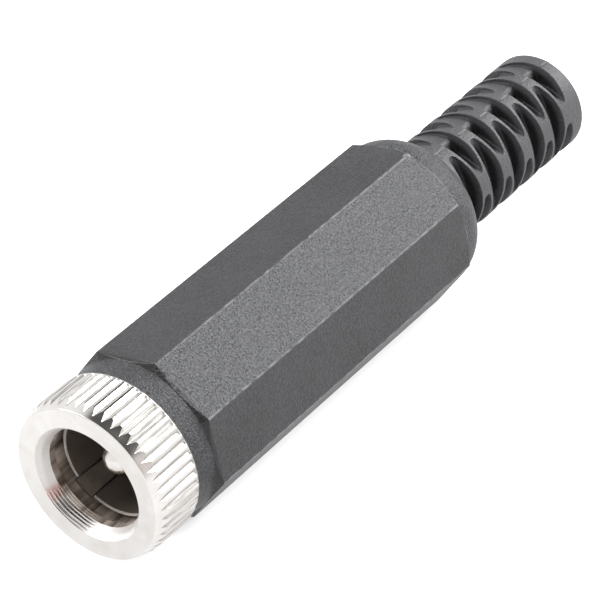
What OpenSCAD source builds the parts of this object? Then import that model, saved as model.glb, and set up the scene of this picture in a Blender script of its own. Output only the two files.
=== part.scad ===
// In-line DC power socket: a turned metal mouth screwed into an octagonal plastic
// housing, with a slotted soft boot where the cable leaves. Millimetres.
// The axis runs along Y: the mouth faces -Y, the boot ends at +Y, and y = 0 is the
// front edge of the mouth's guide lip, at the bottom of the countersink.
// The housing lies on one of its flats, with +Z up.

/* [Front ring] */
// Length of the knurled ring
ring_l = 3.5; // [2:0.1:8]
// Number of knurl ridges
knurl_n = 50; // [24:1:72]
// Direction of the first ridge around the axis
knurl_at = 2.6; // [0:0.1:15]
// Depth of the grooves between the ridges
knurl_depth = 0.14; // [0.05:0.01:0.3]
// Width of the flat land on top of each ridge
knurl_land = 0.08; // [0.04:0.01:0.2]
// Width of the flat at the bottom of each groove
knurl_floor = 0.16; // [0.05:0.01:0.3]
// Length of the long front chamfer of the ring
ring_chamfer_l = 0.8; // [0.2:0.05:1.5]
// How far the front chamfer drops below the ridges
ring_chamfer_r = 0.22; // [0.1:0.01:0.6]
// Chamfer at the rear edge of the ring
ring_rear_chamfer = 0.14; // [0.05:0.01:0.4]

/* [Mouth] */
// How far the countersink widens at the front face, to each side
csk_flare = 0.4; // [0.1:0.05:0.8]
// Depth of the countersink
csk_l = 0.78; // [0.3:0.02:1.5]
// Diameter of the lip that guides the plug
mouth_d = 6.3; // [5.7:0.05:7]
// Length of the straight lip behind the countersink
lip_l = 0.45; // [0.2:0.05:1]

/* [Shank] */
// Thickness of the shank's wall under its thread, drawn as a plain cylinder
shank_wall = 0.55; // [0.4:0.05:1]
// Length of the shank behind the ring
shank_l = 7; // [4:0.5:12]
// Width of the thread's run-out groove
runout_l = 0.8; // [0.4:0.1:2]
// Depth of the run-out groove
runout_depth = 0.25; // [0.1:0.05:0.4]
// Chamfer at the rear end of the shank
shank_chamfer = 0.25; // [0.1:0.05:0.5]

/* [Contact sleeve] */
// How much wider the rolled contact sleeve is than the lip
sleeve_over = 0.36; // [0.1:0.02:0.8]
// Thickness of the sleeve's sheet
sleeve_t = 0.16; // [0.1:0.01:0.3]
// How far the sleeve's front edge lies behind the front face
sleeve_front = 2.15; // [1.5:0.05:4]
// Width of the seam where the rolled sheet meets
seam_w = 0.25; // [0.1:0.05:0.6]
// Angle that the spring tongue spans
tongue_deg = 21; // [10:1:40]
// Angle of the slit on each side of the tongue
slit_deg = 2; // [1:0.5:6]
// Length of the slits from the front edge
slit_l = 6.4; // [3:0.1:7]
// How far the tongue's front edge flares out
tongue_flare = 0.26; // [0:0.02:0.4]
// How far the tongue's bend reaches in
tongue_dip = 0.44; // [0.2:0.02:0.7]
// Direction of the tongue around the axis
tongue_at = -140; // [-180:5:180]

/* [Centre pin] */
// Diameter of the centre pin
pin_d = 2; // [1.6:0.05:2.5]
// How far the pin's round tip lies behind the front face
pin_tip = 1.95; // [1:0.05:4]
// Diameter of the pin's collar
pin_collar_d = 3.4; // [2.6:0.1:4]
// Length of the pin's collar
pin_collar_l = 0.5; // [0.3:0.1:1]
// Diameter of the pin's tail through the stack
pin_tail_d = 1.6; // [1.2:0.1:1.8]
// Diameter of the tail's riveted head
rivet_d = 2.8; // [2:0.1:3.4]
// Height of the riveted head
rivet_h = 0.4; // [0.2:0.1:0.8]

/* [Insulators] */
// Length of the insulator's nose inside the sleeve
nose_l = 1; // [0.5:0.1:2]
// Length of the insulator's boss inside the shank
boss_l = 1; // [0.5:0.1:2]
// Diameter of the insulator's neck behind the shank
neck_d = 4.7; // [4:0.1:5.5]
// Diameter of the rear washer
washer_d = 6; // [5.4:0.1:6.2]
// Thickness of the rear washer
washer_t = 1; // [0.5:0.1:2]

/* [Solder tags] */
// Thickness of both solder tags
tag_t = 0.4; // [0.3:0.05:0.6]
// How much smaller the ground tag's ring is than the thread
ground_under = 0.2; // [0.1:0.1:0.8]
// Width of the ground tag's strip
ground_w = 2.6; // [2:0.1:3.4]
// Length of the ground tag from its ring to its end
ground_l = 11.5; // [8:0.5:14]
// Length of the crimp cradle at the ground tag's end
crimp_l = 3; // [2:0.1:4]
// Angle that the crimp cradle spans
crimp_deg = 150; // [90:5:180]
// Diameter of the pin tag's ring
pin_tag_d = 3.8; // [3:0.1:4.4]
// Width of the pin tag's strip
pin_tag_w = 1.8; // [1.2:0.1:2.4]
// Length of the pin tag
pin_tag_l = 6; // [4:0.5:8]
// Distance of the pin strip's outer side from the axis
pin_tag_off = 2; // [1.7:0.1:2.6]
// Diameter of the wire hole in both tags
wire_hole_d = 1; // [0.6:0.1:1.4]

/* [Housing] */
// Thickness of the housing's wall around the thread, at the middle of a flat
housing_wall = 0.75; // [0.6:0.05:2]
// How far the round collar steps in where it meets the ring
collar_step = 0.2; // [0.05:0.05:0.5]
// Length of the round collar behind the ring
collar_l = 1.4; // [0.6:0.1:3]
// Length of the octagonal body with its end chamfers
body_l = 24.7; // [16:0.1:40]
// Length of the chamfers at the octagon's ends
corner_chamfer_l = 0.3; // [0.1:0.05:1]
// Radius of the rounded rear shoulder
shoulder_r = 2.2; // [1:0.1:3]
// Straight round stretch behind the octagon
shoulder_straight = 0.36; // [0:0.02:1]
// Length of the rounded shoulder
shoulder_l = 1.87; // [1:0.01:2.1]
// Thickness of the housing's rear wall ahead of the shoulder's end
rear_wall_l = 3.3; // [1.5:0.1:5]
// How much narrower the housing's wiring space is than its threaded bore
cavity_under = 0.5; // [0.2:0.1:1]
// How far the threaded bore, drawn plain, runs past the shell's end
thread_bore_over = 1; // [0.5:0.5:2]
// Diameter of the moulding gate's nub
gate_d = 0.4; // [0.2:0.02:0.8]
// How far the gate's nub stands out
gate_h = 0.1; // [0.02:0.01:0.2]

/* [Strain relief boot] */
// Outer diameter of the soft boot
boot_d = 6.6; // [5:0.1:8]
// Length of the boot behind the housing
boot_out_l = 13.4; // [8:0.1:24]
// Edge radius at the boot's free end
boot_end_r = 0.2; // [0.1:0.05:0.5]
// Length of the boot's flange
flange_l = 1.5; // [0.8:0.1:3]
// Diameter of the cable bore through the boot
cable_d = 4; // [3:0.1:5]
// Chamfer at the mouth of the cable bore
cable_chamfer = 0.25; // [0.1:0.05:0.6]
// Number of window columns around the boot
window_columns = 6; // [4:2:8]
// Number of windows in each column
window_rows = 5; // [3:1:8]
// Distance between windows along a column
window_pitch = 2.32; // [1.8:0.02:3]
// Width of a window at its middle
window_w = 1.3; // [0.8:0.01:1.6]
// Thickness of the boot's wall under the windows' flat floors
window_wall = 0.27; // [0.1:0.01:0.6]
// Radius of the windows' long curved sides
window_side_r = 6.8; // [6:0.1:20]
// Radius of the windows' rounded ends
window_end_r = 0.45; // [0.4:0.01:0.6]
// How far a window stops short of where its flat floor would run out
window_short = 0.06; // [0.03:0.01:0.3]
// Distance of the first window's middle from the housing
window_start = 1.35; // [0.9:0.05:3]
// Direction of the first column around the axis
window_at = 7.5; // [0:0.5:60]
// Width of the raised mould line along the boot
mould_line_w = 0.1; // [0.04:0.02:0.3]
// Height of the raised mould line
mould_line_h = 0.04; // [0.02:0.01:0.1]

/* [Clearances] */
// Radial clearance of the shell's thread in the housing
thread_gap = 0.05; // [0.02:0.01:0.1]
// Clearance of the tongue's flare in the shell's bore
tongue_gap = 0.06; // [0.02:0.01:0.2]
// Radial clearance of the insulator in the shell
insulator_gap = 0.03; // [0.01:0.01:0.1]
// Radial clearance of the insulator's nose in the sleeve
nose_gap = 0.02; // [0.01:0.01:0.1]
// Radial clearance of the pin's tail in the stack
tail_gap = 0.02; // [0.01:0.01:0.1]
// Radial clearance of the rings around the insulator's neck
neck_gap = 0.04; // [0.01:0.01:0.1]
// Clearance of the ground tag's strip around the rear washer
strip_gap = 0.1; // [0.05:0.01:0.2]
// Radial clearance of the boot in the housing's rear hole
boot_gap = 0.03; // [0.01:0.01:0.1]
// Radial clearance of the boot's flange in the wiring space
flange_gap = 0.1; // [0.05:0.05:0.3]

/* [Hidden] */
$fn = 96;
eps = 0.01;
csk_d = mouth_d + 2 * csk_flare;
sleeve_d = mouth_d + sleeve_over;
shell_bore_d = sleeve_d + 2 * (tongue_flare + tongue_gap);
thread_d = shell_bore_d + 2 * shank_wall;
thread_bore_d = thread_d + 2 * thread_gap;
housing_af = thread_bore_d + 2 * housing_wall;
cavity_d = thread_bore_d - cavity_under;
collar_front_d = housing_af - 2 * collar_step;
flange_d = cavity_d - 2 * flange_gap;
ground_d = thread_d - ground_under;
window_floor = cable_d / 2 + window_wall;
ring_r = housing_af / 2;
shell_end = ring_l + shank_l;
lip_end = csk_l + lip_l;
nose_front = shell_end - boss_l - nose_l;
sleeve_end = shell_end - boss_l;
stack_ground = shell_end + tag_t;
stack_washer = stack_ground + washer_t;
stack_pin_tag = stack_washer + tag_t;
crimp_r = washer_d / 2 + strip_gap;
ground_off = crimp_r + tag_t;
pin_ball = pin_tip + pin_d / 2;
body_start = ring_l + collar_l;
body_end = body_start + body_l;
shoulder_start = body_end + shoulder_straight;
housing_end = shoulder_start + shoulder_l;
cavity_end = housing_end - rear_wall_l;
thread_bore_end = shell_end + thread_bore_over;
rear_hole_d = boot_d + 2 * boot_gap;
boot_start = cavity_end - flange_l;
boot_end = housing_end + boot_out_l;
corner_r = housing_af / 2 / cos(22.5);
window_half_l = sqrt(pow(boot_d / 2, 2) - pow(window_floor, 2)) - window_short;
window_side_c = window_side_r - window_w / 2;
window_end_x = window_half_l - window_end_r;

// Turns a shape built along +Z so that it runs along +Y
module along_y() {
    rotate([-90, 0, 0]) children();
}

// Moves a piece drawn from the front face into the part's frame
module from_face() {
    translate([0, -csk_l, 0]) children();
}

// A tube along Y from y0 to y1
module tube(y0, y1, r_out, r_in) {
    translate([0, y0, 0]) along_y() difference() {
        cylinder(r = r_out, h = y1 - y0);
        translate([0, 0, -1]) cylinder(r = r_in, h = y1 - y0 + 2);
    }
}

// A solid rod along Y from y0 to y1
module rod(y0, y1, r) {
    translate([0, y0, 0]) along_y() cylinder(r = r, h = y1 - y0);
}

// The outline of the knurl, seen along the axis
module knurl_outline() {
    step = 360 / knurl_n;
    land = knurl_land / ring_r * 90 / PI;
    floor_r = ring_r - knurl_depth;
    valley = knurl_floor / floor_r * 90 / PI;
    polygon([
        for (i = [0 : knurl_n - 1], k = [0 : 3])
            let (
                a = i * step + [-land, land, step / 2 - valley, step / 2 + valley][k],
                r = k < 2 ? ring_r : floor_r
            )
            [r * cos(a), r * sin(a)]
    ]);
}

// The knurled ring, cut by its front and rear chamfers
module ring() {
    along_y() intersection() {
        linear_extrude(height = ring_l) rotate(-knurl_at) knurl_outline();
        rotate_extrude() polygon([
            [0, 0],
            [ring_r - ring_chamfer_r - 0.06, 0],
            [ring_r - ring_chamfer_r, 0.05],
            [ring_r + eps, ring_chamfer_l],
            [ring_r + eps, ring_l - ring_rear_chamfer],
            [ring_r - ring_rear_chamfer, ring_l],
            [0, ring_l]
        ]);
    }
}

// Nickel-plated turned shell: knurled ring, countersunk mouth and threaded shank
module front_shell() {
    color([0.82, 0.81, 0.79]) from_face() difference() {
        union() {
            ring();
            translate([0, ring_l - eps, 0]) along_y() rotate_extrude() polygon([
                [0, 0],
                [thread_d / 2 - runout_depth, 0],
                [thread_d / 2 - runout_depth, runout_l + eps],
                [thread_d / 2, runout_l + runout_depth + eps],
                [thread_d / 2, shank_l - shank_chamfer + eps],
                [thread_d / 2 - shank_chamfer, shank_l + eps],
                [0, shank_l + eps]
            ]);
        }
        along_y() rotate_extrude() polygon([
            [0, -1],
            [csk_d / 2, -1],
            [csk_d / 2, 0],
            [mouth_d / 2, csk_l],
            [mouth_d / 2, lip_end],
            [shell_bore_d / 2, lip_end + 0.1],
            [shell_bore_d / 2, shell_end + 1],
            [0, shell_end + 1]
        ]);
    }
}

// The spring tongue: it flares at its front edge and bends in to press on the plug
module tongue() {
    r = sleeve_d / 2 - sleeve_t;
    rotate([0, -tongue_at, 0]) along_y() rotate([0, 0, -tongue_deg / 2])
        rotate_extrude(angle = tongue_deg) polygon([
            [r + tongue_flare, sleeve_front],
            [r + tongue_flare / 2, sleeve_front + 0.45],
            [r - tongue_dip + 0.04, sleeve_front + 2.9],
            [r - tongue_dip, sleeve_front + 3.3],
            [r - tongue_dip + 0.04, sleeve_front + 3.7],
            [r, sleeve_front + slit_l - 0.3],
            [r, sleeve_front + slit_l + eps],
            [r + sleeve_t, sleeve_front + slit_l + eps],
            [r + sleeve_t, sleeve_front + slit_l - 0.3],
            [r + sleeve_t - tongue_dip + 0.04, sleeve_front + 3.7],
            [r + sleeve_t - tongue_dip, sleeve_front + 3.3],
            [r + sleeve_t - tongue_dip + 0.04, sleeve_front + 2.9],
            [r + sleeve_t + tongue_flare / 2, sleeve_front + 0.45],
            [r + sleeve_t + tongue_flare, sleeve_front]
        ]);
}

// Thin rolled sleeve that takes the plug's barrel, split along its seam
module contact_sleeve() {
    color([0.78, 0.77, 0.74]) from_face() union() {
        difference() {
            tube(sleeve_front, sleeve_end, sleeve_d / 2, sleeve_d / 2 - sleeve_t);
            rotate([0, -tongue_at, 0]) along_y() rotate([0, 0, -tongue_deg / 2 - slit_deg])
                rotate_extrude(angle = tongue_deg + 2 * slit_deg)
                    translate([sleeve_d / 4, sleeve_front - 1])
                        square([sleeve_d / 2, slit_l + 1]);
            rotate([0, 180 - tongue_at, 0])
                translate([0, sleeve_front - 1, -seam_w / 2]) cube([sleeve_d, sleeve_end, seam_w]);
        }
        tongue();
    }
}

// Round-nosed centre pin with a collar and a tail riveted behind the stack
module centre_pin() {
    color([0.84, 0.82, 0.77]) from_face() along_y() rotate_extrude() union() {
        intersection() {
            translate([0, pin_ball]) circle(r = pin_d / 2);
            translate([0, 0]) square([pin_d, pin_ball]);
        }
        translate([0, pin_ball]) square([pin_d / 2, nose_front - pin_ball]);
        translate([0, nose_front - pin_collar_l]) square([pin_collar_d / 2, pin_collar_l]);
        translate([0, nose_front]) square([pin_tail_d / 2, stack_pin_tag - nose_front]);
        translate([0, stack_pin_tag]) polygon([
            [0, 0],
            [rivet_d / 2, 0],
            [rivet_d / 2 - 0.15, rivet_h * 0.6],
            [rivet_d / 4, rivet_h],
            [0, rivet_h]
        ]);
    }
}

// Moulded insulator between the pin and the sleeve, with a neck for the ground tag
module insulator() {
    color([0.1, 0.1, 0.11]) from_face() along_y() difference() {
        rotate_extrude() polygon([
            [0, nose_front],
            [sleeve_d / 2 - sleeve_t - nose_gap, nose_front],
            [sleeve_d / 2 - sleeve_t - nose_gap, sleeve_end],
            [shell_bore_d / 2 - insulator_gap, sleeve_end],
            [shell_bore_d / 2 - insulator_gap, shell_end],
            [neck_d / 2, shell_end],
            [neck_d / 2, stack_washer],
            [0, stack_washer]
        ]);
        translate([0, 0, nose_front - 1])
            cylinder(r = pin_tail_d / 2 + tail_gap, h = stack_washer);
    }
}

// Ground tag: a ring on the shank's end, a strip and a crimp cradle for the cable
module ground_tag() {
    color([0.8, 0.78, 0.72]) from_face() difference() {
        union() {
            rod(shell_end, stack_ground, ground_d / 2);
            translate([-ground_w / 2, shell_end, -ground_off])
                cube([ground_w, ground_l, tag_t]);
            translate([0, shell_end + ground_l - crimp_l, 0]) along_y()
                linear_extrude(height = crimp_l) difference() {
                    intersection() {
                        circle(r = crimp_r + tag_t);
                        rotate(90) polygon([
                            [0, 0],
                            for (a = [-1 : 0.5 : 1])
                                2 * crimp_r * [cos(a * crimp_deg / 2), sin(a * crimp_deg / 2)]
                        ]);
                    }
                    circle(r = crimp_r);
                }
        }
        rod(shell_end - 1, stack_ground + eps, neck_d / 2 + neck_gap);
        translate([0, shell_end + ground_l - crimp_l - 2, -ground_off - 1])
            cylinder(r = wire_hole_d / 2, h = 2);
    }
}

// Fibre washer between the two tags
module rear_washer() {
    color([0.45, 0.3, 0.2]) from_face()
        tube(stack_ground, stack_washer, washer_d / 2, neck_d / 2 + neck_gap);
}

// Pin tag: a ring under the rivet head and a strip bent back for the wire
module pin_tag() {
    color([0.8, 0.78, 0.72]) from_face() difference() {
        union() {
            rod(stack_washer, stack_pin_tag, pin_tag_d / 2);
            translate([-pin_tag_w / 2, stack_washer, 0])
                cube([pin_tag_w, tag_t, pin_tag_off]);
            translate([-pin_tag_w / 2, stack_washer, pin_tag_off - tag_t])
                cube([pin_tag_w, pin_tag_l, tag_t]);
        }
        rod(stack_washer - 1, stack_pin_tag + eps, pin_tail_d / 2 + tail_gap);
        translate([0, stack_washer + pin_tag_l - 1.2, 0])
            cylinder(r = wire_hole_d / 2, h = pin_tag_off + 1);
    }
}

// The octagonal body with both ends turned down to the collar's size
module octagon_body() {
    intersection() {
        translate([0, body_start, 0]) along_y() rotate([0, 0, 22.5])
            cylinder(r = corner_r, h = body_l, $fn = 8);
        along_y() rotate_extrude() polygon([
            [0, body_start],
            [housing_af / 2, body_start],
            [corner_r + eps, body_start + corner_chamfer_l],
            [corner_r + eps, body_end - corner_chamfer_l],
            [housing_af / 2, body_end],
            [0, body_end]
        ]);
    }
}

// Hard plastic housing, hollow for the shell, the tags and the boot's flange
module housing() {
    color([0.2, 0.2, 0.21]) from_face() difference() {
        union() {
            translate([0, ring_l, 0]) along_y() cylinder(
                r1 = collar_front_d / 2, r2 = housing_af / 2, h = collar_l);
            octagon_body();
            along_y() rotate_extrude() union() {
                translate([0, body_end - eps])
                    square([housing_af / 2, shoulder_straight + eps]);
                intersection() {
                    translate([housing_af / 2 - shoulder_r, shoulder_start])
                        circle(r = shoulder_r);
                    translate([0, shoulder_start]) square([housing_af, shoulder_l]);
                }
                translate([0, shoulder_start])
                    square([housing_af / 2 - shoulder_r, shoulder_l]);
            }
            rotate([0, -67.5, 0])
                translate([corner_r + gate_h - gate_d / 2, body_end - 0.5, 0])
                    sphere(r = gate_d / 2);
        }
        along_y() rotate_extrude() polygon([
            [0, ring_l - 1],
            [thread_bore_d / 2, ring_l - 1],
            [thread_bore_d / 2, thread_bore_end],
            [cavity_d / 2, thread_bore_end + 0.2],
            [cavity_d / 2, cavity_end],
            [rear_hole_d / 2, cavity_end],
            [rear_hole_d / 2, housing_end + 1],
            [0, housing_end + 1]
        ]);
    }
}

// The oval outline of a window: two long side arcs cut off by two rounder ends
module window_outline() {
    intersection() {
        translate([0, window_side_c]) circle(r = window_side_r);
        translate([0, -window_side_c]) circle(r = window_side_r);
        union() {
            square([2 * window_end_x, window_w], center = true);
            for (x = [-window_end_x, window_end_x])
                translate([x, 0]) circle(r = window_end_r);
        }
    }
}

// One window, cut straight in from the side of the boot down to a flat floor
module window() {
    translate([window_floor, 0, 0]) rotate([0, 90, 0])
        linear_extrude(height = boot_d) window_outline();
}

// Soft boot: a flange held in the housing, a neck and a sleeve of staggered windows
module strain_relief_boot() {
    color([0.13, 0.13, 0.14]) from_face() difference() {
        union() {
            along_y() rotate_extrude() polygon([
                [cable_d / 2, boot_start],
                [flange_d / 2, boot_start],
                [flange_d / 2, cavity_end],
                [boot_d / 2, cavity_end],
                [boot_d / 2, boot_end - boot_end_r],
                [boot_d / 2 - boot_end_r * 0.3, boot_end - boot_end_r * 0.3],
                [boot_d / 2 - boot_end_r, boot_end],
                [cable_d / 2 + cable_chamfer, boot_end],
                [cable_d / 2, boot_end - cable_chamfer]
            ]);
            for (side = [0, 180])
                rotate([0, side - window_at - 60, 0])
                    translate([boot_d / 2 - 0.2, housing_end, -mould_line_w / 2])
                        cube([0.2 + mould_line_h, boot_out_l - boot_end_r, mould_line_w]);
        }
        for (c = [0 : window_columns - 1], k = [0 : window_rows - 1])
            rotate([0, -window_at - c * 360 / window_columns, 0])
                translate([
                    0,
                    housing_end + window_start + (k + (c % 2) / 2) * window_pitch,
                    0
                ])
                    window();
    }
}

front_shell();
contact_sleeve();
centre_pin();
insulator();
ground_tag();
rear_washer();
pin_tag();
housing();
strain_relief_boot();
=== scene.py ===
import math

import bmesh
import bpy
from mathutils import Matrix, Vector


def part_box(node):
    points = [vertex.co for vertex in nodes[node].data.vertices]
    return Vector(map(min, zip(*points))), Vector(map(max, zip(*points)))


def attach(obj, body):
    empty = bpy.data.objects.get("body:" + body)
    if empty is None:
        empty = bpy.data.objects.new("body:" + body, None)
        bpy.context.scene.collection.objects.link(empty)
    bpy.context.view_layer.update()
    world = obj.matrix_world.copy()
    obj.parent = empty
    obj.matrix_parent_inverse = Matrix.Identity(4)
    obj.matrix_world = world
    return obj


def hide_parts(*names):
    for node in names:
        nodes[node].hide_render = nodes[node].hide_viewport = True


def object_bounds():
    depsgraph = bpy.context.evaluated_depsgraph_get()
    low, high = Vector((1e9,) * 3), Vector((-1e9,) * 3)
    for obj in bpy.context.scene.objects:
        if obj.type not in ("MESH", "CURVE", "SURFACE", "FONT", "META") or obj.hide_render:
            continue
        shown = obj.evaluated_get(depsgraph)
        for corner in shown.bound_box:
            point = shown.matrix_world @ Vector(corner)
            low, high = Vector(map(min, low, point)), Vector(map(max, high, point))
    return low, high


# An in-line DC power socket: a nickel-plated mouth, an octagonal housing and a slotted boot.
# The axis runs along Y with the mouth at -Y. Shapes are worked out in millimetres
# from the front face and go into metres, in the frame of the CAD, in makeMesh.

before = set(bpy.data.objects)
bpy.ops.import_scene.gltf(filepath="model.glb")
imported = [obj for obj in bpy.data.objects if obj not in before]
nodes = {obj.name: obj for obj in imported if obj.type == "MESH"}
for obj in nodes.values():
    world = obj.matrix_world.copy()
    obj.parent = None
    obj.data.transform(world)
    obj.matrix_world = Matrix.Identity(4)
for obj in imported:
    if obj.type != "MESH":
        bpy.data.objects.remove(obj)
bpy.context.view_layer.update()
millimetre = 0.001
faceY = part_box("front_shell")[0].y  # the front face of the ring, in metres
print("frame loaded:", len(nodes), "nodes")


def linear(code):
    # sRGB hex to the linear colour that a shader wants
    parts = [int(code[i:i + 2], 16) / 255 for i in (0, 2, 4)]
    return [c / 12.92 if c <= 0.04045 else ((c + 0.055) / 1.055) ** 2.4 for c in parts] + [1.0]


def addNode(tree, kind, inputs=None, **settings):
    # an input that is another node's socket is linked, any other value is set
    node = tree.nodes.new(kind)
    for name, value in settings.items():
        setattr(node, name, value)
    for key, value in (inputs or {}).items():
        if isinstance(value, bpy.types.NodeSocket):
            tree.links.new(value, node.inputs[key])
        else:
            node.inputs[key].default_value = value
    return node


def makeMesh(name, points, faces, start=faceY):
    # points are millimetres behind the front face; the object stays at the origin
    mesh = bpy.data.meshes.new(name)
    mesh.from_pydata([(x * millimetre, y * millimetre + start, z * millimetre)
                      for x, y, z in points], [], faces)
    piece = bpy.data.objects.new(name, mesh)
    bpy.context.scene.collection.objects.link(piece)
    return piece


def tidyMesh(mesh, merge=0.002):
    # welds what touches, drops what has no area and turns the faces outwards
    shape = bmesh.new()
    shape.from_mesh(mesh)
    bmesh.ops.remove_doubles(shape, verts=shape.verts, dist=merge * millimetre)
    bmesh.ops.dissolve_degenerate(shape, edges=shape.edges, dist=merge * millimetre / 4)
    bmesh.ops.recalc_face_normals(shape, faces=shape.faces)
    for face in shape.faces:
        face.smooth = True
    shape.to_mesh(mesh)
    shape.free()


def polar(angle, radius, y):
    # angle in degrees from +X towards +Z
    return (radius * math.cos(math.radians(angle)), y, radius * math.sin(math.radians(angle)))


def roundPath(corners, closed=True, steps=4, guard=0.03):
    # corners are (along, out, fillet); each gives the same number of points, so that
    # paths of different columns still match, and two guards keep the flats flat
    count = len(corners)
    path = []
    for i, (u, v, fillet) in enumerate(corners):
        here = Vector((u, v))
        if fillet == 0 or not closed and i in (0, count - 1):
            path.append(here)
            continue
        before = Vector(corners[i - 1][:2]) - here
        after = Vector(corners[(i + 1) % count][:2]) - here
        turn = math.pi - before.angle(after, 0) if before.length and after.length else 0
        if turn < 1e-3:
            path += [here] * (steps + 3)
            continue
        longest = min(before.length, after.length) * 0.48
        before.normalize()
        after.normalize()
        cut = min(fillet * math.tan(turn / 2), longest)
        radius = cut / math.tan(turn / 2)
        margin = min(guard, longest - cut + 1e-6)
        start, end = here + before * cut, here + after * cut
        centre = here + (before + after).normalized() * radius / math.cos(turn / 2)
        path.append(start + before * margin)
        for k in range(steps + 1):
            spoke = start.lerp(end, k / steps) - centre
            path.append(centre + spoke.normalized() * radius)
        path.append(end + after * margin)
    return path


def splitLong(path, pieces):
    # extra points on the long straight runs of a closed path: how many pieces each run takes
    out = []
    for i, count in enumerate(pieces):
        a, b = path[i], path[(i + 1) % len(path)]
        out += [a.lerp(b, k / count) for k in range(count)]
    return out


def loftFaces(columns, rows, closedAround, closedAlong):
    # quads between columns of points, whose points follow one another in one list
    faces = []
    for i in range(columns if closedAround else columns - 1):
        for j in range(rows if closedAlong else rows - 1):
            a, b = i * rows, (i + 1) % columns * rows
            faces.append((a + j, a + (j + 1) % rows, b + (j + 1) % rows, b + j))
    return faces


def bakeTree(piece):
    # turns the result of the piece's modifiers into its plain mesh
    bpy.context.view_layer.update()
    seen = piece.evaluated_get(bpy.context.evaluated_depsgraph_get())
    mesh = bpy.data.meshes.new_from_object(seen)
    piece.modifiers.clear()
    piece.data = mesh
    mesh.name = piece.name
    tidyMesh(mesh)


def setInputs(modifier, values):
    # a modifier knows its inputs by identifier, so each is looked up by its name
    for item in modifier.node_group.interface.items_tree:
        if item.item_type == "SOCKET" and item.in_out == "INPUT" and item.name in values:
            modifier[item.identifier] = values[item.name]


def newTree(name, kinds):
    # a tree that takes a shape, a finish and these named inputs
    tree = bpy.data.node_groups.new(name, "GeometryNodeTree")
    for socket, kind in {"Geometry": "Geometry", **kinds, "Finish": "Material"}.items():
        tree.interface.new_socket(socket, in_out="INPUT", socket_type="NodeSocket" + kind)
    tree.interface.new_socket("Geometry", in_out="OUTPUT", socket_type="NodeSocketGeometry")
    return tree, addNode(tree, "NodeGroupInput").outputs


def endTree(tree, shapes, finish, gap):
    # makes the copies real, welds what lies closer than the gap, in mm, and paints it all
    real = addNode(tree, "GeometryNodeRealizeInstances", {0: shapes})
    weld = addNode(tree, "GeometryNodeMergeByDistance",
                   {"Geometry": real.outputs[0], "Distance": gap * millimetre})
    paint = addNode(tree, "GeometryNodeSetMaterial", {"Geometry": weld.outputs[0], "Material": finish})
    addNode(tree, "NodeGroupOutput", {0: paint.outputs[0]})


camera = {
    "place": (0.1067466, -0.0967481, 0.0874661),
    "right": (0.78878, 0.58438, -0.19061),
    "up": (-0.16087, 0.49555, 0.85355),
    "back": (0.59326, -0.64259, 0.48489),
    "lens": 187.64,
}
lensData = bpy.data.cameras.new("camera")
lensData.lens = camera["lens"]
lensData.sensor_width = 36
lensData.clip_start = 0.001
lensData.clip_end = 10
eye = bpy.data.objects.new("camera", lensData)
turned = Matrix((camera["right"], camera["up"], camera["back"])).transposed()
eye.matrix_world = Matrix.Translation(camera["place"]) @ turned.to_4x4()
bpy.context.scene.collection.objects.link(eye)
bpy.context.scene.camera = eye
print("camera set")


def newMaterial(name, fixed):
    # gives the tree, its shader with the values that are the same all over, and where a point
    # lies in mm: its place, its distance from the axis and its depth behind the front face
    material = bpy.data.materials.new(name)
    material.use_nodes = True
    tree = material.node_tree
    tree.nodes.clear()
    shader = addNode(tree, "ShaderNodeBsdfPrincipled", fixed)
    addNode(tree, "ShaderNodeOutputMaterial", {"Surface": shader.outputs[0]})
    place = addNode(tree, "ShaderNodeTexCoord").outputs["Object"]
    place = addNode(tree, "ShaderNodeVectorMath", {0: place, "Scale": 1 / millimetre},
                    operation="SCALE").outputs[0]
    flat = addNode(tree, "ShaderNodeVectorMath", {0: place, 1: (1, 0, 1)}, operation="MULTIPLY")
    radius = addNode(tree, "ShaderNodeVectorMath", {0: flat.outputs[0]}, operation="LENGTH")
    x, y, z = addNode(tree, "ShaderNodeSeparateXYZ", {0: place}).outputs
    behind = addNode(tree, "ShaderNodeMath", {0: y, 1: faceY / millimetre}, operation="SUBTRACT")
    where = {"place": place, "x": x, "y": y, "z": z,
             "radius": radius.outputs["Value"], "behind": behind.outputs[0]}
    return material, tree, shader, where


def zone(tree, where, inner, outer, near, far):
    # 1 between these radii and these depths behind the front face, 0 elsewhere
    ring = addNode(tree, "ShaderNodeMath", operation="COMPARE", inputs={
        0: where["radius"], 1: (inner + outer) / 2, 2: (outer - inner) / 2})
    slab = addNode(tree, "ShaderNodeMath", operation="COMPARE", inputs={
        0: where["behind"], 1: (near + far) / 2, 2: (far - near) / 2})
    return addNode(tree, "ShaderNodeMath", {0: ring.outputs[0], 1: slab.outputs[0]},
                   operation="MULTIPLY").outputs[0]


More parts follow.
